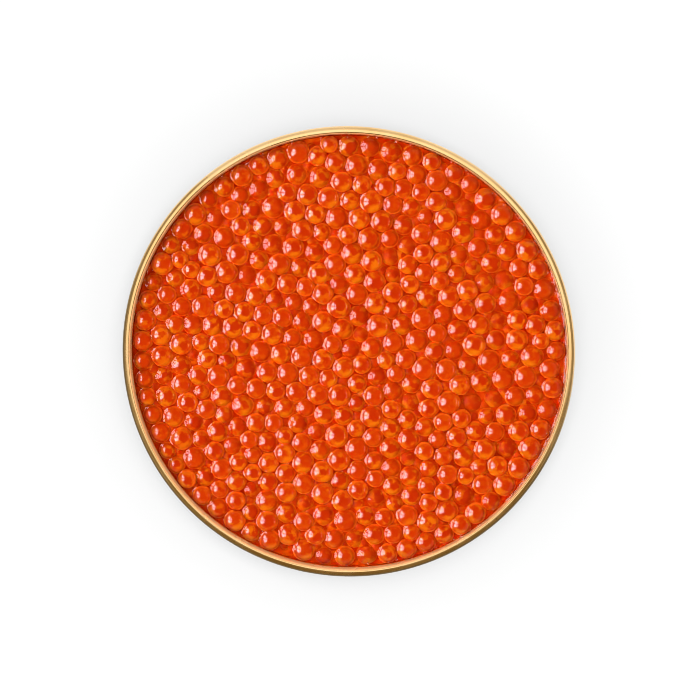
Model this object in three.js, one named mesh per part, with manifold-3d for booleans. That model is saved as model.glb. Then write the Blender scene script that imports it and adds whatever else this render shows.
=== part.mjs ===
// A bowl of trout roe: a shallow round bowl of thin gold-coloured pressed metal with a rolled rim,
// filled to just under that rim with trout eggs that lie close together in a little clear liquid.
// Millimetres, +Z up. The origin is the middle of the bowl's underside, on the table.
import * as THREE from "three";
import { mergeVertices } from "three/addons/utils/BufferGeometryUtils.js";
import Module from "manifold-3d";

// Driving dimensions of the bowl
const RIM_DIAMETER = 84;
const BOWL_HEIGHT = 28;
const SHEET_THICKNESS = 0.6;
const RIM_ROLL_DIAMETER = 1.75;
const WALL_TAPER = THREE.MathUtils.degToRad(4);
const LOWER_CORNER_RADIUS = 7;
const STANDING_RING_WIDTH = 3;
const BASE_PANEL_RISE = 0.6;
const BASE_PANEL_SLOPE_WIDTH = 1.2;

// Driving dimensions of the roe
const FIT_GAP = 0.3; // between the roe and the metal
const EGG_COUNT = 400;
const EGG_RADIUS = 1.93;
const EGG_RADIUS_SPREAD = 0.17;
const EGG_RADIUS_LEAST = 1.4;
const EGG_RADIUS_MOST = 2.25;
const EGG_TOP_BELOW_RIM = 0.95;
const EGG_TOP_SCATTER = 0.22;
const LIQUID_BELOW_RIM = 2;
const SETTLING_ROUNDS = 400;
const SETTLING_PUSH = 0.25; // how much of an overlap each of two eggs gives way in one round
const START_SCATTER = 1; // sideways, in egg radii
const RANDOM_SEED = 20417;

// How finely the round shapes are faceted
const BOWL_SIDES = 56;
const CORE_SIDES = 48;
const CORNER_STEPS = 3;
const ROLL_UNDER_STEPS = 2; // from the wall to the widest point
const ROLL_OVER_STEPS = 4; // from the widest point over the top to the inside
const EGG_SIDES = 6;
const EGG_SHOULDER = THREE.MathUtils.degToRad(33); // angle from the top of the egg's upper ring
const EGG_SKIRT = THREE.MathUtils.degToRad(72); // angle from the top of the ring under the liquid
const EGG_SIDE_SWELL = 1.02; // brings a hexagon's middle width nearer the round egg's
const SAME_POINT = 1e-4;

const rimRadius = RIM_DIAMETER / 2;
const rollRadius = RIM_ROLL_DIAMETER / 2;
const rollCentre = new THREE.Vector2(rimRadius - rollRadius, BOWL_HEIGHT - rollRadius);
const innerTopRadius = rimRadius - RIM_ROLL_DIAMETER;
const liquidLevel = BOWL_HEIGHT - LIQUID_BELOW_RIM;

// Random numbers from 0 to 1 that are the same in every run.
function seededRandom(seed) {
  let state = seed;
  return () => {
    state = (state + 0x6d2b79f5) | 0;
    let mixed = Math.imul(state ^ (state >>> 15), 1 | state);
    mixed = (mixed + Math.imul(mixed ^ (mixed >>> 7), 61 | mixed)) ^ mixed;
    return ((mixed ^ (mixed >>> 14)) >>> 0) / 2 ** 32;
  };
}

// The radius of the bowl's tapered inner wall at a height, moved inwards by a distance.
function wallRadius(height, inset) {
  return innerTopRadius - (rollCentre.y - height) * Math.tan(WALL_TAPER) - inset / Math.cos(WALL_TAPER);
}

// Points of the arc between a flat floor and the tapered wall, from the floor up.
function cornerArc(floorHeight, inset, radius) {
  const along = radius * (1 - Math.sin(WALL_TAPER));
  const centreRadius = wallRadius(floorHeight + along, inset) - radius * Math.cos(WALL_TAPER);
  const points = [];
  for (let step = 0; step <= CORNER_STEPS; step++) {
    const angle = -Math.PI / 2 + (step / CORNER_STEPS) * (Math.PI / 2 - WALL_TAPER);
    points.push(
      new THREE.Vector2(
        centreRadius + radius * Math.cos(angle),
        floorHeight + radius * (1 + Math.sin(angle)),
      ),
    );
  }
  return points;
}

// The floor of the bowl seen in section, from the axis outwards, raised by a distance: a slightly
// raised panel, its slope, and the ring that the bowl stands on. cornerStart ends that ring.
function floorLine(raise, cornerStart) {
  const ringInside = outerCornerStart - STANDING_RING_WIDTH;
  const panelEdge = ringInside - BASE_PANEL_SLOPE_WIDTH;
  return [
    new THREE.Vector2(0, BASE_PANEL_RISE + raise),
    new THREE.Vector2(panelEdge, BASE_PANEL_RISE + raise),
    new THREE.Vector2(ringInside, raise),
    ...cornerStart,
  ];
}

const outerCorner = cornerArc(0, -SHEET_THICKNESS, LOWER_CORNER_RADIUS);
const outerCornerStart = outerCorner[0].x;
const innerCorner = cornerArc(SHEET_THICKNESS, 0, LOWER_CORNER_RADIUS - SHEET_THICKNESS);

// A section turned about the vertical axis, as a closed geometry with +Z up.
function turned(section, sides) {
  return new THREE.LatheGeometry(section, sides).rotateX(Math.PI / 2);
}

// One pressed sheet: floor, rounded lower corner, tapered wall and a rim rolled outwards.
function bowlGeometry() {
  const wallOutside = innerTopRadius + SHEET_THICKNESS;
  const rollStart = -Math.acos((wallOutside - rollCentre.x) / rollRadius);
  const angles = [];
  for (let step = 0; step < ROLL_UNDER_STEPS; step++) {
    angles.push(rollStart * (1 - step / ROLL_UNDER_STEPS));
  }
  for (let step = 0; step <= ROLL_OVER_STEPS; step++) {
    angles.push((step / ROLL_OVER_STEPS) * Math.PI);
  }
  const roll = angles.map(
    (angle) =>
      new THREE.Vector2(
        rollCentre.x + rollRadius * Math.cos(angle),
        rollCentre.y + rollRadius * Math.sin(angle),
      ),
  );
  const underside = floorLine(0, outerCorner);
  const inside = floorLine(SHEET_THICKNESS, innerCorner);
  return turned([...underside, ...roll, ...inside.reverse()], BOWL_SIDES);
}

// The body of the roe up to the liquid's level, a gap inside the bowl.
function roeCoreGeometry() {
  const inset = SHEET_THICKNESS + FIT_GAP;
  const corner = cornerArc(inset, FIT_GAP, LOWER_CORNER_RADIUS - inset);
  const top = [
    new THREE.Vector2(wallRadius(liquidLevel, FIT_GAP), liquidLevel),
    new THREE.Vector2(0, liquidLevel),
  ];
  return turned([...floorLine(inset, corner), ...top], CORE_SIDES);
}

// Where each egg of the top layer lies. They start spread over the disc by the golden angle, and
// then push each other apart, and off the wall, until they lie as close and as evenly as real eggs.
function settledEggs() {
  const random = seededRandom(RANDOM_SEED);
  const goldenAngle = Math.PI * (3 - Math.sqrt(5));
  const wall = wallRadius(liquidLevel, FIT_GAP);
  const eggs = [];
  for (let i = 0; i < EGG_COUNT; i++) {
    const bell = 2 * (random() + random() + random()) - 3; // a bell curve about 0, with a spread of 1
    const radius = THREE.MathUtils.clamp(
      EGG_RADIUS + EGG_RADIUS_SPREAD * bell,
      EGG_RADIUS_LEAST,
      EGG_RADIUS_MOST,
    );
    const out = (wall - radius) * Math.sqrt((i + 0.5) / EGG_COUNT);
    const turn = i * goldenAngle;
    eggs.push({
      x: out * Math.cos(turn) + (random() - 0.5) * START_SCATTER * EGG_RADIUS,
      y: out * Math.sin(turn) + (random() - 0.5) * START_SCATTER * EGG_RADIUS,
      radius,
      topScatter: (random() - 0.5) * 2 * EGG_TOP_SCATTER,
      turn: random() * Math.PI,
    });
  }
  for (let round = 0; round < SETTLING_ROUNDS; round++) {
    pushApart(eggs);
    keepInside(eggs, wall);
  }
  return eggs;
}

// Moves eggs that overlap, seen from above, a little way off each other.
function pushApart(eggs) {
  for (let i = 0; i < eggs.length; i++) {
    for (let j = i + 1; j < eggs.length; j++) {
      const a = eggs[i];
      const b = eggs[j];
      const dx = b.x - a.x;
      const dy = b.y - a.y;
      const wanted = a.radius + b.radius;
      const squared = dx * dx + dy * dy;
      if (squared >= wanted * wanted) continue;
      const distance = Math.sqrt(squared);
      const share = ((wanted - distance) / distance) * SETTLING_PUSH;
      a.x -= dx * share;
      a.y -= dy * share;
      b.x += dx * share;
      b.y += dy * share;
    }
  }
}

// Moves eggs that reach past the wall back to it.
function keepInside(eggs, wall) {
  for (const egg of eggs) {
    const out = Math.hypot(egg.x, egg.y);
    const most = wall - egg.radius * EGG_SIDE_SWELL;
    if (out <= most) continue;
    egg.x *= most / out;
    egg.y *= most / out;
  }
}

// The upper part of one egg as a faceted dome, with a skirt that reaches under the liquid.
function eggGeometry(egg) {
  const r = egg.radius;
  const side = r * EGG_SIDE_SWELL;
  const section = [
    new THREE.Vector2(0, 0),
    new THREE.Vector2(side * Math.sin(EGG_SKIRT), 0),
    new THREE.Vector2(side * Math.sin(EGG_SKIRT), r * Math.cos(EGG_SKIRT)),
    new THREE.Vector2(side * Math.sin(EGG_SHOULDER), r * Math.cos(EGG_SHOULDER)),
    new THREE.Vector2(0, r),
  ];
  const top = BOWL_HEIGHT - EGG_TOP_BELOW_RIM + egg.topScatter;
  return turned(section, EGG_SIDES)
    .rotateZ(egg.turn)
    .translate(egg.x, egg.y, top - r);
}

// Joins closed geometries into one solid.
function fused(wasm, geometries) {
  const solids = geometries.map((geometry) => {
    const bare = geometry.clone();
    bare.deleteAttribute("normal");
    bare.deleteAttribute("uv");
    const merged = mergeVertices(bare, SAME_POINT);
    return new wasm.Manifold(
      new wasm.Mesh({
        numProp: 3,
        vertProperties: new Float32Array(merged.attributes.position.array),
        triVerts: new Uint32Array(merged.index.array),
      }),
    );
  });
  const mesh = wasm.Manifold.union(solids).getMesh();
  const geometry = new THREE.BufferGeometry();
  geometry.setAttribute("position", new THREE.BufferAttribute(mesh.vertProperties, 3));
  geometry.setIndex(new THREE.BufferAttribute(mesh.triVerts, 1));
  geometry.computeVertexNormals();
  return geometry;
}

const wasm = await Module();
wasm.setup();

const bowl = new THREE.Mesh(
  bowlGeometry(),
  new THREE.MeshStandardMaterial({ color: 0xd9a957, metalness: 1, roughness: 0.3 }),
);
bowl.name = "bowl";

const roe = new THREE.Mesh(
  fused(wasm, [roeCoreGeometry(), ...settledEggs().map(eggGeometry)]),
  new THREE.MeshStandardMaterial({ color: 0xdd430b, metalness: 0, roughness: 0.15 }),
);
roe.name = "roe";

const bowlOfRoe = new THREE.Group();
bowlOfRoe.add(bowl, roe);

export default bowlOfRoe;
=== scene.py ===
import math
import random
from collections import namedtuple

import bmesh
import bpy
import numpy as np
from mathutils import Matrix, Vector


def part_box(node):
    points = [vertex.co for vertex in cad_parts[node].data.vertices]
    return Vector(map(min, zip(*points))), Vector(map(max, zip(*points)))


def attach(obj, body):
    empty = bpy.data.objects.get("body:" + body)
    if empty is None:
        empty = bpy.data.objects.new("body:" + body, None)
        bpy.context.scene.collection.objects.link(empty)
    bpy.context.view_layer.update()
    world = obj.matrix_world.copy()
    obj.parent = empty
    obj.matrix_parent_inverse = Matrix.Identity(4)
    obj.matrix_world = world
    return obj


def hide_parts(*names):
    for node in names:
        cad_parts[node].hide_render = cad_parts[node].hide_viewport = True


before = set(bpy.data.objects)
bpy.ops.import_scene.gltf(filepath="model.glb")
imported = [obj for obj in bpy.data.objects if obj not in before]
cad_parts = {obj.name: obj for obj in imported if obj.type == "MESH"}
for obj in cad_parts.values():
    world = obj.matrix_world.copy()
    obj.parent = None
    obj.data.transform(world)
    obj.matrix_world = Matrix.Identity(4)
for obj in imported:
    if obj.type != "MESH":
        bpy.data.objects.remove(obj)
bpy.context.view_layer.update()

MM = 0.001
bowl_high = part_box("bowl")[1]

# The bowl, in metres. Its width and height are those of the frame.
RIM_RADIUS = bowl_high.x
RIM_HEIGHT = bowl_high.z
SHEET = 0.3 * MM
ROLL_RADIUS = 0.875 * MM  # half the rolled rim's height
ROLL_WIDTH = 1.45 * MM  # from the rim's outer edge to the wall's inner face
ROLL_INSIDE = 0.38 * MM  # from the rim's highest line to its inner side
ROLL_TURN = math.radians(235)  # how far the rim is curled round
WALL_TAPER = math.radians(4)
LOWER_CORNER_RADIUS = 7 * MM
STANDING_RING_WIDTH = 3 * MM
BASE_PANEL_RISE = 0.6 * MM
BASE_PANEL_SLOPE_WIDTH = 1.2 * MM
BASE_PANEL_RINGS = (0.35, 0.7, 1)  # shares of the panel's radius
BOWL_STEPS = 192
CORNER_STEPS = 10
ROLL_STEPS = 22

# The eggs, in metres
TOP_EGG_COUNT = 400
SHOULDER_ANGLE = math.radians(33)  # from an egg's top to the ring of corners round it in the frame
EGG_CLEAR_OF_LIQUID = 0.1 * MM  # an egg's top in the frame is at least this far above the liquid
EGG_SPREAD = 1.015  # the outer eggs touch the wall
EGG_SEGMENTS = 20
EGG_RINGS = 11
SUNK_SHARE = 0.5  # of the top eggs, which the liquid nearly or wholly covers
SUNK_LEAST = 0.1 * MM
SUNK_MOST = 0.7 * MM
WATERLINE = 0.06 * MM  # how far below and above the liquid an egg's skin still counts as partly wet
GLOW_PATCH_TURN = math.radians(50)  # how far each egg's painted glow patch, and with it its painted shade spot and halo, may lie off the usual side

# The eggs under those, which show in the gaps
DEEP_COUNT = 420
DEEP_SEARCH_STEP = 0.4 * MM  # how finely free places are looked for
DEEP_SPACING = 2.5 * MM
DEEP_RADIUS_LEAST = 1.55 * MM
DEEP_RADIUS_MOST = 1.85 * MM
DEEP_TOP = RIM_HEIGHT - 2.1 * MM  # the highest that an egg's top may lie
DEEP_SCATTER = 0.5 * MM  # and how far below that others lie
DEEP_SEGMENTS = 16
DEEP_RINGS = 9

# The liquid, in metres
LIQUID_LEVEL = RIM_HEIGHT - 2.05 * MM
LIQUID_DEPTH = 3 * MM
LIQUID_INTO_WALL = 0.15 * MM  # so that no gap shows there
LIQUID_CELL = 0.13 * MM  # before the flat parts are thinned
LIQUID_TRIANGLES = 185000
FILLET = 0.5 * MM  # radius of the hollow curve in which it rises to an egg
FILM_INSIDE_EGG = 0.06 * MM  # how far under an egg's skin the surface runs on
EGG_CAP = 0.81  # inside an egg, above this share of its radius, the surface is cut off flat
WALL_CLIMB = 0.25 * MM  # how far it rises at the wall, and about how far from it
SWELL = 0.15 * MM
SWELL_SPACING = 17 * MM
SWELL_PHASE = 1
RIPPLE = 0.004 * MM
RIPPLE_SPACING = 2.3 * MM
RIPPLE_PHASE = 2
WAVE_DIRECTIONS = 3
WAVE_FAN = 0.9  # how much of an even spacing round the circle they keep
SLOPE_STEP = 0.01 * MM  # over which the level's slope is measured
TILE = 4 * MM  # heights are worked out tile by tile, from the eggs that reach into each
EGG_REACH = 6 * MM
APPROACHES = 8  # each brings the height nearer its true value

# The core under the eggs, and the bubbles
CORE_TOP = RIM_HEIGHT - 2.75 * MM
CORE_EDGE_TOP = RIM_HEIGHT - 2.3 * MM  # at the wall, where no whole egg fits
CORE_EDGE_WIDTH = 1.2 * MM
CORE_EDGE_STEPS = 6
CORE_STEPS = 96
CORE_GAP = 0.1 * MM
BUBBLE_COUNT = 90
BUBBLE_LEAST = 0.11 * MM
BUBBLE_MOST = 0.26 * MM
BUBBLE_SPREAD = (-2.4, 4.0, 0.8)  # angles at the wall in radians: the least, the most and the commonest
BUBBLE_OFF_WALL = (1.2, 3)  # from the wall to a bubble's middle, in its own radii
BUBBLE_FINENESS = 2

SAME_POINT = 0.001 * MM
RANDOM_SEED = 7

Egg = namedtuple("Egg", "middle radius")
rng = random.Random(RANDOM_SEED)


def wall_radius(height, inset=0.0):
    """Radius of the wall's inner face at a height, moved inwards by a distance."""
    below_roll = RIM_HEIGHT - ROLL_RADIUS - height
    return RIM_RADIUS - ROLL_WIDTH - below_roll * math.tan(WALL_TAPER) - inset / math.cos(WALL_TAPER)


def arc(centre, across, high, start, end, steps):
    """Points of a round or oval arc in the XZ plane, both ends included."""
    points = []
    for step in range(steps + 1):
        angle = start + (end - start) * step / steps
        points.append(Vector((centre.x + across * math.cos(angle), 0, centre.z + high * math.sin(angle))))
    return points


def piece(name, bm, material):
    """A smooth mesh object at the origin, made from a bmesh."""
    mesh = bpy.data.meshes.new(name)
    bm.to_mesh(mesh)
    bm.free()
    mesh.shade_smooth()
    mesh.materials.append(material)
    made = bpy.data.objects.new(name, mesh)
    bpy.context.scene.collection.objects.link(made)
    return made


def append(whole, part):
    """Adds one small bmesh to a larger one."""
    mesh = bpy.data.meshes.new("part")
    part.to_mesh(mesh)
    part.free()
    whole.from_mesh(mesh)
    bpy.data.meshes.remove(mesh)


def places_of(verts):
    """An array of rows x, y."""
    return np.array([vert.co[:2] for vert in verts])


def spin_section(bm, points, steps):
    """Turns a chain of points once round the Z axis."""
    verts = [bm.verts.new(point) for point in points]
    edges = [bm.edges.new(pair) for pair in zip(verts, verts[1:])]
    bmesh.ops.spin(bm, geom=verts + edges, cent=(0, 0, 0), axis=(0, 0, 1), angle=math.tau,
                   steps=steps, use_merge=True)
    bmesh.ops.remove_doubles(bm, verts=bm.verts, dist=SAME_POINT)
    bmesh.ops.recalc_face_normals(bm, faces=bm.faces)


# Shader nodes

def feed(tree, socket, value):
    """Links an output to a socket, or gives the socket a plain value or colour."""
    if isinstance(value, bpy.types.NodeSocket):
        tree.links.new(value, socket)
    elif socket.type == "RGBA":
        socket.default_value = (*value, 1)
    else:
        socket.default_value = value


def math_node(tree, operation, a, b=0.0):
    node = tree.nodes.new("ShaderNodeMath")
    node.operation = operation
    feed(tree, node.inputs[0], a)
    feed(tree, node.inputs[1], b)
    return node.outputs["Value"]


def both(tree, a, b):
    """The share where two marks overlap."""
    return math_node(tree, "MULTIPLY", a, b)


def vector_node(tree, operation, a, b=(0, 0, 0)):
    node = tree.nodes.new("ShaderNodeVectorMath")
    node.operation = operation
    feed(tree, node.inputs[0], a)
    feed(tree, node.inputs[1], b)
    return node.outputs["Value" if operation in ("DISTANCE", "LENGTH") else "Vector"]


def ramp(tree, value, low, high, out_low=0.0, out_high=1.0):
    """Eases from out_low to out_high as the value goes from low to high."""
    node = tree.nodes.new("ShaderNodeMapRange")
    node.interpolation_type = "SMOOTHSTEP"
    for name, given in (("Value", value), ("From Min", low), ("From Max", high), ("To Min", out_low),
                        ("To Max", out_high)):
        feed(tree, node.inputs[name], given)
    return node.outputs["Result"]


def mix_colour(tree, share, a, b):
    """From colour a to colour b. A Mix node's sockets for colours are inputs 6 and 7 and output 2."""
    node = tree.nodes.new("ShaderNodeMix")
    node.data_type = "RGBA"
    feed(tree, node.inputs[0], share)
    feed(tree, node.inputs[6], a)
    feed(tree, node.inputs[7], b)
    return node.outputs[2]


def noise_node(tree, place, spacing, detail=2.0):
    """Cloudy values from 0 to 1 whose patches are about as wide as the spacing."""
    node = tree.nodes.new("ShaderNodeTexNoise")
    feed(tree, node.inputs["Vector"], place)
    node.inputs["Scale"].default_value = 1 / spacing
    node.inputs["Detail"].default_value = detail
    return node.outputs["Fac"]


def object_place(tree):
    return tree.nodes.new("ShaderNodeTexCoord").outputs["Object"]


def off_axis(tree, place):
    """How far a place is from the Z axis."""
    return vector_node(tree, "LENGTH", vector_node(tree, "MULTIPLY", place, (1, 1, 0)))


def attribute(tree, name, output):
    node = tree.nodes.new("ShaderNodeAttribute")
    node.attribute_name = name
    return node.outputs[output]


def start_material(name):
    """A new material with its node tree and the inputs of its shader."""
    material = bpy.data.materials.new(name)
    material.use_nodes = True
    tree = material.node_tree
    return material, tree, tree.nodes["Principled BSDF"].inputs


# The gold lacquer

GOLD_DEEP = (0.86, 0.52, 0.165)
GOLD_PALE = (0.94, 0.615, 0.25)
GOLD_LINE = (0.62, 0.31, 0.03)
# The colour of the painted shade on the rim's outer edge.
DARK_EDGE_COLOUR = (0.20, 0.13, 0.05)
LINING = (0.62, 0.38, 0.17)
STAIN = (0.85, 0.12, 0.01)
GOLD_DETAIL = 3.0
LINE_SPACING = 0.12 * MM
LINE_BUMP = 0.01 * MM
LINE_BUMP_STRENGTH = 0.5
SMUDGE_SPACING = 6 * MM
DARK_EDGE_SPARED_NEAR = (0.011, 0.035, 0.028)  # painted shade darkens the rim's outer edge all round but near this place, for the dark that the edge mirrors
DARK_EDGE_ROUGHNESS = 0.15
COAT_ROUGHNESS = 0.15
COAT_IOR = 1.9

# Where each mark starts and where it is whole, and its strengths there where they aren't 0 and 1
LINE_MARK = (0.5, 0.75, 0.0, 0.35)
SMUDGE_MARK = (0.3, 0.7)
SMUDGE_ROUGHNESS = (0.3, 0.75, 0.20, 0.30)
# Painted shade on the rim's outer edge: how it fades out near one place, the band it covers, and how much
# coat stays on it.
DARK_EDGE_SIDE = (RIM_RADIUS, 1.5 * RIM_RADIUS)
DARK_EDGE_BAND = (RIM_RADIUS - 0.55 * MM, RIM_RADIUS - 0.3 * MM)
DARK_EDGE_COAT = (0.0, 1.0, 0.8, 0.1)
LINED_SIDE = (wall_radius(0) + 0.2 * MM, wall_radius(0) + 0.05 * MM)
LINED_HEIGHT = (RIM_HEIGHT - 6 * MM, RIM_HEIGHT - 4 * MM)
LINED_METALLIC = (0.0, 1.0, 1.0, 0.2)
STAINED_HEIGHT = (LIQUID_LEVEL + 0.3 * MM, LIQUID_LEVEL + 0.1 * MM)


def dark_edge_share(tree, place, across):
    """Where painted shade darkens the rim's outer edge, for the dark that the edge mirrors."""
    side = ramp(tree, vector_node(tree, "DISTANCE", place, DARK_EDGE_SPARED_NEAR), *DARK_EDGE_SIDE)
    return both(tree, side, ramp(tree, across, *DARK_EDGE_BAND))


def lined_share(tree, across, height):
    """Where the sheet has its duller lining: on the upper part of the wall's inner face."""
    taper = math_node(tree, "MULTIPLY", height, math.tan(WALL_TAPER))
    straightened = math_node(tree, "SUBTRACT", across, taper)
    inner_face = ramp(tree, straightened, *LINED_SIDE)
    return both(tree, inner_face, ramp(tree, height, *LINED_HEIGHT))


def gold_lacquer():
    """Gold lacquer on pressed steel, with fine lines round the bowl, cloudy smudges, and painted shade
    along the rim's outer edge.
    """
    material, tree, shader = start_material("gold_lacquer")
    place = object_place(tree)
    parts = tree.nodes.new("ShaderNodeSeparateXYZ")
    feed(tree, parts.inputs[0], place)
    height = parts.outputs["Z"]
    across = off_axis(tree, place)
    ring_place = tree.nodes.new("ShaderNodeCombineXYZ")
    feed(tree, ring_place.inputs["X"], across)
    feed(tree, ring_place.inputs["Y"], height)
    lines = noise_node(tree, ring_place.outputs[0], LINE_SPACING, GOLD_DETAIL)
    smudges = noise_node(tree, place, SMUDGE_SPACING, GOLD_DETAIL)
    dark_edge = dark_edge_share(tree, place, across)
    lined = lined_share(tree, across, height)
    stained = both(tree, lined, ramp(tree, height, *STAINED_HEIGHT))

    colour = mix_colour(tree, ramp(tree, smudges, *SMUDGE_MARK), GOLD_DEEP, GOLD_PALE)
    colour = mix_colour(tree, ramp(tree, lines, *LINE_MARK), colour, GOLD_LINE)
    # Painted shade: the rim's outer edge darker, rougher and with less coat.
    colour = mix_colour(tree, dark_edge, colour, DARK_EDGE_COLOUR)
    colour = mix_colour(tree, lined, colour, LINING)
    feed(tree, shader["Base Color"], mix_colour(tree, stained, colour, STAIN))
    feed(tree, shader["Metallic"], ramp(tree, lined, *LINED_METALLIC))
    rough = ramp(tree, smudges, *SMUDGE_ROUGHNESS)
    dark_edge_rough = math_node(tree, "MULTIPLY", dark_edge, DARK_EDGE_ROUGHNESS)
    feed(tree, shader["Roughness"], math_node(tree, "ADD", rough, dark_edge_rough))
    feed(tree, shader["Coat Weight"], ramp(tree, dark_edge, *DARK_EDGE_COAT))
    shader["Coat Roughness"].default_value = COAT_ROUGHNESS
    shader["Coat IOR"].default_value = COAT_IOR
    bump = tree.nodes.new("ShaderNodeBump")
    bump.inputs["Strength"].default_value = LINE_BUMP_STRENGTH
    bump.inputs["Distance"].default_value = LINE_BUMP
    feed(tree, bump.inputs["Height"], lines)
    feed(tree, shader["Normal"], bump.outputs["Normal"])
    return material


# The look of an egg

# In each egg look, the second colour is painted shade, the third serves the random cloudiness and the
# painted glow, and the last is a painted edge glow.
TOP_EGG_COLOURS = (("Body", (0.46, 0.034, 0.001)), ("Painted_shade", (0.40, 0.020, 0.001)),
                   ("Bright", (0.57, 0.122, 0.002)), ("Painted_edge_glow", (0.90, 0.16, 0.008)))
DEEP_EGG_COLOURS = (("Body", (0.54, 0.044, 0.001)), ("Painted_shade", (0.45, 0.027, 0.001)),
                    ("Bright", (0.67, 0.14, 0.002)), ("Painted_edge_glow", (0.80, 0.13, 0.006)))
SECOND_SHADE = 7.3  # an egg's shade, times this and without its whole part, is a second random share
THIRD_SHADE = 31.7
CLOUD_SPACING = 1.1 * MM
CLOUD_DETAIL = 4.0
CLOUD_WANDER = 0.9  # how far the clouds push the marks' edges about
SHADE_SPOT_MIDDLE = (0.25, 0.05, 0.95)  # middle of the painted shade spot, on an egg of radius 1
# Middle of the glow patch, painted light for light focused through the egg onto its lower side.
GLOW_PATCH_MIDDLE = (-0.1, -0.75, 0.55)

# Marks as above. Those named SHADES go by the egg's random share.
CLOUD_MARK = (0.46, 0.62)
CLOUD_SHADES = (0.2, 1.0, 0.2, 0.75)
# The spot is painted shade: dark red, as if looking down through the egg into the deep.
SHADE_SPOT_SHRINK = (0.0, 1.0, -0.08, 0.22)
SHADE_SPOT_MARK = (0.6, 0.38)
SHADE_SPOT_SHADES = (0.1, 0.8, 0.25, 0.95)
# The halo is painted light: a bright ring round the spot, for light scattered in from the eggs around.
HALO_INSIDE = (0.42, 0.6)
HALO_OUTSIDE = (1.05, 0.75)
HALO_CLOUD = (0.46, 0.58)
HALO_SHADES = (0.45, 0.95, 0.0, 0.8)
# The glow patch: painted light low on one side of the egg.
GLOW_PATCH_MARK = (0.72, 0.35)
GLOW_PATCH_SHADES = (0.2, 0.7)
# The edge glow: painted light, a bright line near each egg's outline where its skin turns away.
EDGE_GLOW_MARK = (0.75, 0.95)
EDGE_GLOW_CLOUD = (0.35, 0.6, 0.5, 1.0)


def other_share(tree, share, factor):
    """A second random share from 0 to 1, made out of a first one."""
    return math_node(tree, "FRACT", math_node(tree, "MULTIPLY", share, factor))


def egg_look():
    """A node group for what shows inside an egg: a spot of painted shade, dark red, in the middle, often
    with a bright ring of painted light round it, a bright orange patch of painted light low on one side,
    cloudiness, and a bright outline of painted light where its skin turns away."""
    group = bpy.data.node_groups.new("egg_look", "ShaderNodeTree")
    for name, _ in TOP_EGG_COLOURS:
        group.interface.new_socket(name, in_out="INPUT", socket_type="NodeSocketColor")
    group.interface.new_socket("Colour", in_out="OUTPUT", socket_type="NodeSocketColor")
    given = group.nodes.new("NodeGroupInput").outputs
    point = attribute(group, "egg_point", "Vector")
    shade = attribute(group, "egg_shade", "Fac")
    second_shade = other_share(group, shade, SECOND_SHADE)
    third_shade = other_share(group, shade, THIRD_SHADE)
    cloud = noise_node(group, object_place(group), CLOUD_SPACING, CLOUD_DETAIL)
    wander = math_node(group, "MULTIPLY", math_node(group, "SUBTRACT", cloud, 0.5), CLOUD_WANDER)

    cloud_share = both(group, ramp(group, cloud, *CLOUD_MARK), ramp(group, second_shade, *CLOUD_SHADES))
    # Painted shade: the dark red spot in the middle of the egg.
    shade_spot_wander = math_node(group, "ADD", wander, ramp(group, third_shade, *SHADE_SPOT_SHRINK))
    from_shade_spot = math_node(group, "ADD", vector_node(group, "DISTANCE", point, SHADE_SPOT_MIDDLE), shade_spot_wander)
    shade_spot_share = both(group, ramp(group, from_shade_spot, *SHADE_SPOT_MARK), ramp(group, second_shade, *SHADE_SPOT_SHADES))
    # Painted light: the bright halo round the spot.
    halo = both(group, ramp(group, from_shade_spot, *HALO_INSIDE), ramp(group, from_shade_spot, *HALO_OUTSIDE))
    cloudy_halo = both(group, halo, ramp(group, cloud, *HALO_CLOUD))
    halo_share = both(group, cloudy_halo, ramp(group, shade, *HALO_SHADES))
    # Painted light: a bright orange glow low on one side, where light through the egg would gather.
    from_glow_patch = math_node(group, "ADD", vector_node(group, "DISTANCE", point, GLOW_PATCH_MIDDLE), wander)
    glow_patch_share = both(group, ramp(group, from_glow_patch, *GLOW_PATCH_MARK), ramp(group, shade, *GLOW_PATCH_SHADES))
    # Painted light: a bright line near the egg's outline, where its skin turns away.
    skin = ramp(group, off_axis(group, point), *EDGE_GLOW_MARK)
    edge_glow_share = both(group, skin, ramp(group, cloud, *EDGE_GLOW_CLOUD))

    colour = mix_colour(group, cloud_share, given["Body"], given["Bright"])
    colour = mix_colour(group, halo_share, colour, given["Bright"])
    colour = mix_colour(group, glow_patch_share, colour, given["Bright"])
    colour = mix_colour(group, shade_spot_share, colour, given["Painted_shade"])
    colour = mix_colour(group, edge_glow_share, colour, given["Painted_edge_glow"])
    feed(group, group.nodes.new("NodeGroupOutput").inputs["Colour"], colour)
    return group


# The other materials

EGG_ROUGHNESS = 0.3
EGG_IOR = 1.08  # low, because the eggs lie in liquid
EGG_DRY = (0.1, 0.6)
EGG_COAT_IOR = 1.55
EGG_SCATTER = (1.0, 0.5, 0.3)
EGG_SCATTER_DEPTH = 0.4 * MM

LIQUID_TINTS = ((1, 0.88, 0.78), (1, 0.95, 0.88))
LIQUID_CLOUD_SPACING = 4 * MM
LIQUID_IOR = 1.36

CORE_LIGHT = (0.65, 0.054, 0.002)
# The colour of the painted shade where the deep eggs meet.
CORE_DARK = (0.55, 0.037, 0.001)
CORE_ORANGE = (0.72, 0.11, 0.003)
CORE_EGG_SPACING = 2.5 * MM
CORE_EGG_MARK = (0.15, 0.6)
CORE_CLOUD_SPACING = 2 * MM
CORE_CLOUD_MARK = (0.5, 0.7)
CORE_ROUGHNESS = 0.5
CORE_SCATTER = (1.0, 0.3, 0.1)
CORE_SCATTER_DEPTH = 1.0 * MM


def scatter_light(shader, colours, depth):
    """Lets light into a material, and out again up to so far away."""
    shader["Subsurface Weight"].default_value = 1
    shader["Subsurface Radius"].default_value = colours
    shader["Subsurface Scale"].default_value = depth


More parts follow.
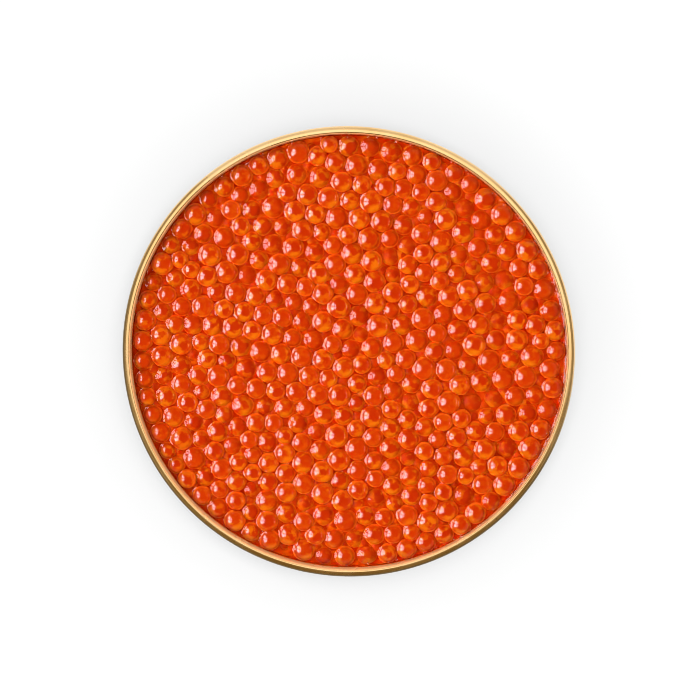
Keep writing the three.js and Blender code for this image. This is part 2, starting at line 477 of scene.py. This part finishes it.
def egg_material(name, look, colours):
    """An egg's body with its look, and a glossy skin only where it stands out of the liquid."""
    material, tree, shader = start_material(name)
    inside = tree.nodes.new("ShaderNodeGroup")
    inside.node_tree = look
    for socket, colour in colours:
        feed(tree, inside.inputs[socket], colour)
    feed(tree, shader["Base Color"], inside.outputs["Colour"])
    shader["Roughness"].default_value = EGG_ROUGHNESS
    shader["IOR"].default_value = EGG_IOR
    feed(tree, shader["Coat Weight"], ramp(tree, attribute(tree, "egg_dry", "Fac"), *EGG_DRY))
    shader["Coat Roughness"].default_value = 0
    shader["Coat IOR"].default_value = EGG_COAT_IOR
    scatter_light(shader, EGG_SCATTER, EGG_SCATTER_DEPTH)
    return material


def clear_liquid():
    """Clear liquid that takes a little colour from the roe, more in some places."""
    material, tree, shader = start_material("clear_liquid")
    cloud = noise_node(tree, object_place(tree), LIQUID_CLOUD_SPACING)
    feed(tree, shader["Base Color"], mix_colour(tree, cloud, *LIQUID_TINTS))
    shader["Transmission Weight"].default_value = 1
    shader["Roughness"].default_value = 0
    shader["IOR"].default_value = LIQUID_IOR
    shader["Specular IOR Level"].default_value = 1
    return material


def deep_roe():
    """What shows between the eggs: more eggs, deep down and out of focus, with painted shade where they
    meet.
    """
    material, tree, shader = start_material("deep_roe")
    place = object_place(tree)
    cells = tree.nodes.new("ShaderNodeTexVoronoi")
    feed(tree, cells.inputs["Vector"], place)
    cells.inputs["Scale"].default_value = 1 / CORE_EGG_SPACING
    painted_shade_between_eggs = ramp(tree, cells.outputs["Distance"], *CORE_EGG_MARK)
    orange_share = ramp(tree, noise_node(tree, place, CORE_CLOUD_SPACING), *CORE_CLOUD_MARK)
    # Painted shade: darker where the deep eggs meet.
    colour = mix_colour(tree, painted_shade_between_eggs, CORE_LIGHT, CORE_DARK)
    feed(tree, shader["Base Color"], mix_colour(tree, orange_share, colour, CORE_ORANGE))
    shader["Roughness"].default_value = CORE_ROUGHNESS
    shader["Specular IOR Level"].default_value = 0
    scatter_light(shader, CORE_SCATTER, CORE_SCATTER_DEPTH)
    return material


# The bowl

def bowl_section():
    """The middle line of the bowl's sheet, from the axis to the end of the rolled rim."""
    half = SHEET / 2
    radius = LOWER_CORNER_RADIUS - half
    along = radius * (1 - math.sin(WALL_TAPER))
    corner_middle = wall_radius(half + along, -half) - radius * math.cos(WALL_TAPER)
    ring_inside = corner_middle - STANDING_RING_WIDTH
    panel_edge = ring_inside - BASE_PANEL_SLOPE_WIDTH
    floor = [Vector((panel_edge * share, 0, BASE_PANEL_RISE + half)) for share in (0, *BASE_PANEL_RINGS)]
    floor.append(Vector((ring_inside, 0, half)))
    corner = arc(Vector((corner_middle, 0, half + radius)), radius, radius, -math.pi / 2, -WALL_TAPER,
                 CORNER_STEPS)
    outside = ROLL_WIDTH - ROLL_INSIDE
    top_line = Vector((RIM_RADIUS - outside, 0, RIM_HEIGHT - ROLL_RADIUS))
    rise = arc(top_line, ROLL_INSIDE - half, ROLL_RADIUS - half, math.pi, math.pi / 2, ROLL_STEPS // 2)
    fall = arc(top_line, outside - half, ROLL_RADIUS - half, math.pi / 2, math.pi - ROLL_TURN, ROLL_STEPS)
    return floor + corner + rise + fall[1:]


def make_bowl():
    """The bowl's sheet: its middle line turned about the axis, and then given its thickness."""
    bm = bmesh.new()
    spin_section(bm, bowl_section(), BOWL_STEPS)
    made = piece("bowl_metal", bm, gold_lacquer())
    wall = made.modifiers.new("sheet", "SOLIDIFY")
    wall.thickness = SHEET
    wall.offset = 0
    return made


# The eggs

def eggs_of_frame():
    """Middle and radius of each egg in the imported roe. An egg's top stands above all that it is joined
    to, and the drop from there to its ring of corners gives its radius."""
    bm = bmesh.new()
    bm.from_mesh(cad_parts["roe"].data)
    bmesh.ops.remove_doubles(bm, verts=bm.verts, dist=SAME_POINT)
    eggs = []
    for vert in bm.verts:
        drops = [vert.co.z - edge.other_vert(vert).co.z for edge in vert.link_edges]
        if vert.co.z > LIQUID_LEVEL + EGG_CLEAR_OF_LIQUID and min(drops) > 0:
            radius = max(drops) / (1 - math.cos(SHOULDER_ANGLE))
            eggs.append(Egg(vert.co - Vector((0, 0, radius)), radius))
    bm.free()
    eggs.sort(key=lambda egg: (round(egg.middle.x / SAME_POINT), round(egg.middle.y / SAME_POINT)))
    return eggs


def settled(eggs):
    """The same eggs spread out to the wall, with some of them lower, so that the liquid nearly or wholly
    covers those."""
    result = []
    for egg in eggs:
        sunk = rng.uniform(SUNK_LEAST, SUNK_MOST) if rng.random() < SUNK_SHARE else 0
        middle = Vector((egg.middle.x * EGG_SPREAD, egg.middle.y * EGG_SPREAD, egg.middle.z - sunk))
        result.append(Egg(middle, egg.radius))
    return result


def off_wall(egg):
    """The same egg, moved inwards where it would cut through the wall."""
    out = egg.middle.to_2d().length
    share = min(1, wall_radius(egg.middle.z, egg.radius) / out)
    return Egg(Vector((egg.middle.x * share, egg.middle.y * share, egg.middle.z)), egg.radius)


def deep_eggs(eggs):
    """Eggs of the second layer. Each lies under the widest gap between the top ones that is still free."""
    reach = wall_radius(DEEP_TOP) - DEEP_RADIUS_LEAST
    steps = np.arange(-reach, reach, DEEP_SEARCH_STEP)
    places = np.array([(x, y) for x in steps for y in steps if math.hypot(x, y) < reach])
    gaps = np.full(len(places), np.inf)
    for egg in eggs:
        gaps = np.minimum(gaps, np.hypot(*(places - egg.middle[:2]).T) - egg.radius)
    found = []
    for place in places[np.argsort(-gaps, kind="stable")]:
        if all(math.hypot(*(place - other.middle[:2])) > DEEP_SPACING for other in found):
            radius = rng.uniform(DEEP_RADIUS_LEAST, DEEP_RADIUS_MOST)
            top = DEEP_TOP - rng.uniform(0, DEEP_SCATTER)
            found.append(Egg(Vector((*place, top - radius)), radius))
            if len(found) == DEEP_COUNT:
                break
    return [off_wall(egg) for egg in found]


def make_eggs(name, eggs, top_eggs, segments, rings, material):
    """All the eggs of one layer as one mesh. Each vertex knows its place on its own egg, and whether it
    stands out of the liquid round the top layer."""
    layer = bmesh.new()
    for egg in eggs:
        ball = bmesh.new()
        point = ball.verts.layers.float_vector.new("egg_point")
        shade = ball.verts.layers.float.new("egg_shade")
        bmesh.ops.create_uvsphere(ball, u_segments=segments, v_segments=rings, radius=egg.radius)
        own_turn = Matrix.Rotation(rng.uniform(-GLOW_PATCH_TURN, GLOW_PATCH_TURN), 3, "Z")
        own_shade = rng.random()
        for vert in ball.verts:
            vert[point] = own_turn @ vert.co / egg.radius
            vert[shade] = own_shade
        bmesh.ops.translate(ball, verts=ball.verts, vec=egg.middle)
        append(layer, ball)
    made = piece(name, layer, material)
    heights = np.array([vert.co.z for vert in made.data.vertices])
    film = liquid_surface(places_of(made.data.vertices), top_eggs)[0]
    dry = made.data.attributes.new("egg_dry", "FLOAT", "POINT")
    dry.data.foreach_set("value", np.clip((heights - film) / WATERLINE, -1, 1))
    made.visible_shadow = False
    return made


# The liquid

def waves(places, spacing, phase):
    """Gentle waves from -1 to 1 that run in a few directions at once."""
    total = np.zeros(len(places))
    for number in range(WAVE_DIRECTIONS):
        angle = phase + number * math.tau / WAVE_DIRECTIONS * WAVE_FAN
        along = places[:, 0] * math.cos(angle) + places[:, 1] * math.sin(angle)
        total += np.sin(math.tau * along / spacing + phase * number)
    return total / WAVE_DIRECTIONS


def level_at(places):
    """Height of the liquid away from any egg: it swells a little, and climbs at the wall."""
    from_wall = wall_radius(LIQUID_LEVEL) - np.hypot(places[:, 0], places[:, 1])
    swell = SWELL * waves(places, SWELL_SPACING, SWELL_PHASE)
    ripple = RIPPLE * waves(places, RIPPLE_SPACING, RIPPLE_PHASE)
    return LIQUID_LEVEL + (swell + ripple) + WALL_CLIMB * np.exp(-from_wall / WALL_CLIMB)


def surface_near(places, level, slopes, middles, radii):
    """Heights and normals where these eggs are all that is near. The surface keeps off each of them, and
    off the level, by less than the fillet's radius. The squares of what is missing add up to that radius
    squared."""
    offsets = places[:, None] - middles[:, :2]
    away = (offsets ** 2).sum(2)
    tops = middles[:, 2] + np.sqrt(np.maximum(radii ** 2 - away, 0))
    z = np.maximum(tops.max(1), level)
    for _ in range(APPROACHES):
        up = z[:, None] - middles[:, 2]
        distance = np.sqrt(away + up ** 2)
        pull = np.maximum(FILLET + radii - distance, 0)
        level_pull = np.maximum(FILLET + level - z, 0)
        excess = (pull ** 2).sum(1) + level_pull ** 2 - FILLET ** 2
        z = z + excess / (2 * ((pull * up / distance).sum(1) + level_pull))
    share = pull / distance
    normals = np.column_stack([(share[:, :, None] * offsets).sum(1) - level_pull[:, None] * slopes,
                               (share * up).sum(1) + level_pull])
    flat = middles[:, 2] + EGG_CAP * radii
    under_cap = (away < radii ** 2 * (1 - EGG_CAP ** 2)) & (flat > level[:, None] + FILLET / 2)
    return np.minimum(z, np.where(under_cap, flat, np.inf).min(1)), normals


def liquid_surface(places, eggs):
    """Height and normal of the liquid's surface at each place, an array of rows x, y. On an egg it lies
    just inside, and from egg to egg or down to its level it runs in a hollow curve."""
    middles = np.array([egg.middle for egg in eggs])
    radii = np.array([egg.radius for egg in eggs]) - FILM_INSIDE_EGG
    level = level_at(places)
    steps = SLOPE_STEP * np.eye(2)
    slopes = np.column_stack([level_at(places + step) - level for step in steps]) / SLOPE_STEP
    heights = np.zeros(len(places))
    normals = np.zeros((len(places), 3))
    tiles = np.floor(places / TILE)
    order = np.lexsort(tiles.T)
    tile_ends = np.flatnonzero(np.diff(tiles[order], axis=0).any(axis=1)) + 1
    for chosen in np.split(order, tile_ends):
        tile_middle = (tiles[chosen[0]] + 0.5) * TILE
        near = np.hypot(*(middles[:, :2] - tile_middle).T) < EGG_REACH
        heights[chosen], normals[chosen] = surface_near(places[chosen], level[chosen], slopes[chosen],
                                                        middles[near], radii[near])
    return heights, normals / np.linalg.norm(normals, axis=1)[:, None]


def set_heights(verts, eggs):
    """Puts vertices on the liquid's surface, and gives its normals there."""
    heights, normals = liquid_surface(places_of(verts), eggs)
    for vert, height in zip(verts, heights):
        vert.co.z = height
    return normals


def snap_edge(bm, reach):
    """Moves the outermost vertices onto a circle."""
    for vert in bm.verts:
        if vert.is_boundary:
            vert.co.xy *= reach / vert.co.to_2d().length


def thinned(bm, triangles):
    """A bmesh with about so many triangles, most of them where the surface curves."""
    bmesh.ops.triangulate(bm, faces=bm.faces)
    share = triangles / len(bm.faces)
    full = piece("liquid_before_thinning", bm, None)
    full.modifiers.new("thin", "DECIMATE").ratio = share
    evaluated = full.evaluated_get(bpy.context.evaluated_depsgraph_get())
    thin_mesh = bpy.data.meshes.new_from_object(evaluated)
    result = bmesh.new()
    result.from_mesh(thin_mesh)
    bpy.data.meshes.remove(thin_mesh)
    bpy.data.meshes.remove(full.data)
    return result


def make_liquid(eggs):
    """The liquid: a fine round grid laid on its surface, thinned, and closed by a flat bottom below."""
    reach = wall_radius(LIQUID_LEVEL) + LIQUID_INTO_WALL
    cells = int(2 * reach / LIQUID_CELL)
    bm = bmesh.new()
    bmesh.ops.create_grid(bm, x_segments=cells, y_segments=cells, size=reach + LIQUID_CELL)
    outside = [vert for vert in bm.verts if vert.co.length > reach + LIQUID_CELL / 2]
    bmesh.ops.delete(bm, geom=outside, context="VERTS")
    snap_edge(bm, reach)
    set_heights(bm.verts, eggs)
    bm = thinned(bm, LIQUID_TRIANGLES)
    snap_edge(bm, reach)
    top_normals = set_heights(bm.verts, eggs)
    rim_edges = [edge for edge in bm.edges if edge.is_boundary]
    sides = bmesh.ops.extrude_edge_only(bm, edges=rim_edges)["geom"]
    for vert in (part for part in sides if isinstance(part, bmesh.types.BMVert)):
        vert.co.z = LIQUID_LEVEL - LIQUID_DEPTH
        vert.co.xy *= wall_radius(vert.co.z) / wall_radius(LIQUID_LEVEL)
    bmesh.ops.holes_fill(bm, edges=[edge for edge in bm.edges if edge.is_boundary])
    bmesh.ops.recalc_face_normals(bm, faces=bm.faces)
    made = piece("roe_liquid", bm, clear_liquid())
    normals = np.zeros((len(made.data.vertices), 3))
    normals[:len(top_normals)] = top_normals
    made.data.normals_split_custom_set_from_vertices(normals)
    made.visible_shadow = False
    return made


# The bubbles and the core

def make_bubbles(eggs):
    """Small bubbles that float along the wall, most of them on one side."""
    bm = bmesh.new()
    for _ in range(BUBBLE_COUNT):
        radius = rng.uniform(BUBBLE_LEAST, BUBBLE_MOST)
        angle = rng.triangular(*BUBBLE_SPREAD)
        out = wall_radius(LIQUID_LEVEL) - radius * rng.uniform(*BUBBLE_OFF_WALL)
        place = Vector((out * math.cos(angle), out * math.sin(angle), 0))
        place.z = liquid_surface(np.array([place.to_2d()]), eggs)[0][0]
        bmesh.ops.create_icosphere(bm, subdivisions=BUBBLE_FINENESS, radius=radius,
                                   matrix=Matrix.Translation(place))
    made = piece("roe_bubbles", bm, clear_liquid())
    made.visible_shadow = False
    return made


def make_core():
    """The roe under the layers of eggs, as one body."""
    bottom = SHEET + BASE_PANEL_RISE + CORE_GAP
    corner_height = LOWER_CORNER_RADIUS + SHEET
    floor_radius = wall_radius(corner_height) - LOWER_CORNER_RADIUS
    points = [Vector((0, 0, bottom)), Vector((floor_radius, 0, bottom)),
              Vector((wall_radius(corner_height, CORE_GAP), 0, corner_height))]
    for step in range(CORE_EDGE_STEPS + 1):
        inwards = step / CORE_EDGE_STEPS
        height = CORE_TOP + (CORE_EDGE_TOP - CORE_TOP) * (1 - inwards) ** 2
        points.append(Vector((wall_radius(height, CORE_GAP) - CORE_EDGE_WIDTH * inwards, 0, height)))
    points.append(Vector((0, 0, CORE_TOP)))
    bm = bmesh.new()
    spin_section(bm, points, CORE_STEPS)
    return piece("roe_core", bm, deep_roe())


# The floor, lights and camera

WHITE = (1, 1, 1)
FLOOR_SIZE = 1.5  # from its middle to its sides
FLOOR_COLOUR = (0.3, 0.3, 0.3)
FLOOR_ROUGHNESS = 0.9
SKY_RADIANCE = 1.9
FLOOR_LIGHT_DISTANCE = 3.3
FLOOR_LIGHT_SIZE = 1.2
FLOOR_LIGHT_RADIANCE = 44.5
FLOOR_LIGHT_LEAN = math.radians(8)  # off the vertical, towards the camera's side

WINDOW_DISTANCE = 0.6
WINDOW_SILL = 0.1  # height of its lower edge
WINDOW_SHIFT = 0.06  # towards the top of the photograph
WINDOW_RADIANCE = 10.7
WINDOW_COLOUR = (1, 0.93, 1)
PANE_WIDTH = 0.37
PANE_HEIGHT = 0.43
WINDOW_BAR = 0.07

STRIP_DISTANCE = 0.9
STRIP_FOOT = 0.03  # height of its lower edge
STRIP_HEIGHT = 0.12
STRIP_LENGTH = 0.9
STRIP_RADIANCE = 4.0
STRIP_COLOUR = (1, 0.8, 0.7)

TENT_AZIMUTH = math.radians(90)  # of its bright side
TENT_REACH = 0.9
TENT_HEIGHT = 1.1
TENT_BRIGHT_COLOUR = (1, 0.97, 0.95)
TENT_SIDE_COLOUR = (1, 0.88, 0.65)
TENT_DIM_COLOUR = (1, 0.705, 0.3)
TENT_SPLIT = -0.2  # how far past the middle the bright part of the top reaches
TENT_TOPS = (("bright", TENT_SPLIT, TENT_REACH, 1.4, TENT_BRIGHT_COLOUR),
             ("dim", -TENT_REACH, TENT_SPLIT, 0.2, TENT_DIM_COLOUR))  # from, to, radiance, colour
TENT_SIDES = (("back", 0, 0.8, TENT_BRIGHT_COLOUR), ("left", 90, 0.35, TENT_SIDE_COLOUR),
              ("front", 180, 0.2, TENT_DIM_COLOUR),
              ("right", 270, 0.35, TENT_SIDE_COLOUR))  # degrees from the bright side, radiance, colour

VIEW_WIDTH = 0.1294  # metres across the picture, at the rim's height
IMAGE_WIDTH = 700
SENSOR_WIDTH = 36  # in millimetres, as for any Blender camera
CAMERA_DISTANCE = 0.372
CAMERA_LEAN = math.radians(7)  # off the vertical
CAMERA_SIDE = math.radians(62)  # from +X towards +Y
AIM_RIGHT_PIXELS = 2.9  # from the rim's middle to the picture's
AIM_UP_PIXELS = 4.5
PIXEL_FILTER = 0.9  # width in pixels


def leaning(lean):
    """The direction upwards, tilted towards the side where the camera stands."""
    return Vector((math.sin(lean) * math.cos(CAMERA_SIDE), math.sin(lean) * math.sin(CAMERA_SIDE),
                   math.cos(lean)))


def collection_of(name, pieces):
    made = bpy.data.collections.new(name)
    for one in pieces:
        made.objects.link(one)
    return made


def make_floor():
    bm = bmesh.new()
    bmesh.ops.create_grid(bm, x_segments=1, y_segments=1, size=FLOOR_SIZE)
    material, tree, shader = start_material("pale_floor")
    feed(tree, shader["Base Color"], FLOOR_COLOUR)
    shader["Roughness"].default_value = FLOOR_ROUGHNESS
    shader["Specular IOR Level"].default_value = 0
    made = piece("floor", bm, material)
    return made


def area_light(name, place, aim, width, height, radiance, colour, lit):
    """A rectangular light that lights only the pieces in one collection."""
    data = bpy.data.lights.new(name, "AREA")
    data.shape = "RECTANGLE"
    data.size = width
    data.size_y = height
    data.energy = radiance * math.pi * width * height
    data.color = colour
    made = bpy.data.objects.new(name, data)
    bpy.context.scene.collection.objects.link(made)
    made.location = place
    made.rotation_euler = (Vector(aim) - Vector(place)).to_track_quat("-Z", "Y").to_euler()
    made.visible_camera = False
    made.light_linking.receiver_collection = lit
    return made


def make_floor_light(lit):
    """A soft light for the floor alone, near the camera's side, so that only a narrow shadow shows."""
    place = FLOOR_LIGHT_DISTANCE * leaning(FLOOR_LIGHT_LEAN)
    area_light("floor_light", place, (0, 0, 0), FLOOR_LIGHT_SIZE, FLOOR_LIGHT_SIZE, FLOOR_LIGHT_RADIANCE,
               WHITE, lit)


def make_window(lit):
    """A window of four panes on the left, which the wet eggs mirror."""
    for side in (-1, 1):
        for row in (0, 1):
            z = WINDOW_SILL + PANE_HEIGHT / 2 + row * (PANE_HEIGHT + WINDOW_BAR)
            y = side * (PANE_WIDTH + WINDOW_BAR) / 2 + WINDOW_SHIFT
            pane = area_light(f"window_{row}_{side}", (-WINDOW_DISTANCE, y, z), (0, y, z), PANE_WIDTH,
                              PANE_HEIGHT, WINDOW_RADIANCE, WINDOW_COLOUR, lit)
            pane.visible_diffuse = False


def make_low_strip(lit):
    """A low bright strip on the right, which draws a thin line on the right side of each egg."""
    z = STRIP_FOOT + STRIP_HEIGHT / 2
    strip = area_light("low_strip", (STRIP_DISTANCE, 0, z), (0, 0, z), STRIP_LENGTH, STRIP_HEIGHT,
                       STRIP_RADIANCE, STRIP_COLOUR, lit)
    strip.visible_diffuse = False


def tent_panel(name, place, aim, width, height, radiance, colour, lit, blockers):
    """A light that reaches the metal straight, or not at all, and that only the blockers can shade."""
    panel = area_light("tent_" + name, place, aim, width, height, radiance, colour, lit)
    panel.data.cycles.max_bounces = 0
    panel.light_linking.blocker_collection = blockers
    return panel


def make_tent(lit, blockers):
    """Soft panels round the metal, bright overhead and beyond it, dim on the near side."""
    turn = Matrix.Rotation(TENT_AZIMUTH, 3, "Z")
    for name, start, end, radiance, colour in TENT_TOPS:
        place = turn @ Vector(((start + end) / 2, 0, TENT_HEIGHT))
        panel = tent_panel("top_" + name, place, place - Vector((0, 0, 1)), end - start, 2 * TENT_REACH,
                           radiance, colour, lit, blockers)
        panel.rotation_euler = (0, 0, TENT_AZIMUTH)
    for name, azimuth, radiance, colour in TENT_SIDES:
        outwards = turn @ Matrix.Rotation(math.radians(azimuth), 3, "Z") @ Vector((TENT_REACH, 0, 0))
        middle = Vector((0, 0, TENT_HEIGHT / 2))
        tent_panel(name, middle + outwards, middle, 2 * TENT_REACH, TENT_HEIGHT, radiance, colour, lit,
                   blockers)


def make_sky():
    """An even light from all round, which the metal and the eggs don't mirror."""
    world = bpy.data.worlds.new("studio")
    bpy.context.scene.world = world
    world.use_nodes = True
    sky = world.node_tree.nodes["Background"].inputs
    feed(world.node_tree, sky["Color"], WHITE)
    sky["Strength"].default_value = SKY_RADIANCE
    world.cycles_visibility.glossy = False


def make_camera():
    """A camera that looks almost straight down, as the photograph does."""
    data = bpy.data.cameras.new("camera")
    made = bpy.data.objects.new("camera", data)
    bpy.context.scene.collection.objects.link(made)
    bpy.context.scene.camera = made
    data.sensor_width = SENSOR_WIDTH
    data.lens = SENSOR_WIDTH * CAMERA_DISTANCE / VIEW_WIDTH
    aim = Vector((AIM_RIGHT_PIXELS * VIEW_WIDTH / IMAGE_WIDTH, AIM_UP_PIXELS * VIEW_WIDTH / IMAGE_WIDTH,
                  RIM_HEIGHT))
    backwards = leaning(CAMERA_LEAN)
    right = Vector((0, 1, 0)).cross(backwards).normalized()
    up = backwards.cross(right)
    turn = Matrix((right, up, backwards)).transposed().to_4x4()
    made.matrix_world = Matrix.Translation(aim + CAMERA_DISTANCE * backwards) @ turn


def set_view():
    """Colours as they are, no light thrown on by mirrors, and crisp edges."""
    scene = bpy.context.scene
    scene.view_settings.view_transform = "Standard"
    scene.view_settings.look = "None"
    scene.cycles.caustics_reflective = False
    scene.cycles.filter_width = PIXEL_FILTER


# The scene

bowl = make_bowl()
top_eggs = settled(eggs_of_frame())
assert len(top_eggs) == TOP_EGG_COUNT, len(top_eggs)
look = egg_look()
roe_pieces = [
    make_eggs("trout_eggs", top_eggs, top_eggs, EGG_SEGMENTS, EGG_RINGS,
              egg_material("trout_egg", look, TOP_EGG_COLOURS)),
    make_eggs("deep_trout_eggs", deep_eggs(top_eggs), top_eggs, DEEP_SEGMENTS, DEEP_RINGS,
              egg_material("deep_trout_egg", look, DEEP_EGG_COLOURS)),
    make_liquid(top_eggs),
    make_bubbles(top_eggs),
    make_core(),
]
for made in roe_pieces:
    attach(made, "root")
    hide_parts("roe")
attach(bowl, "root")
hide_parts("bowl")

floor = make_floor()
make_floor_light(collection_of("floor_only", [floor]))
roe_only = collection_of("roe_pieces", roe_pieces)
make_window(roe_only)
make_low_strip(roe_only)
make_tent(collection_of("bowl_pieces", [bowl]), roe_only)
make_sky()
make_camera()
set_view()
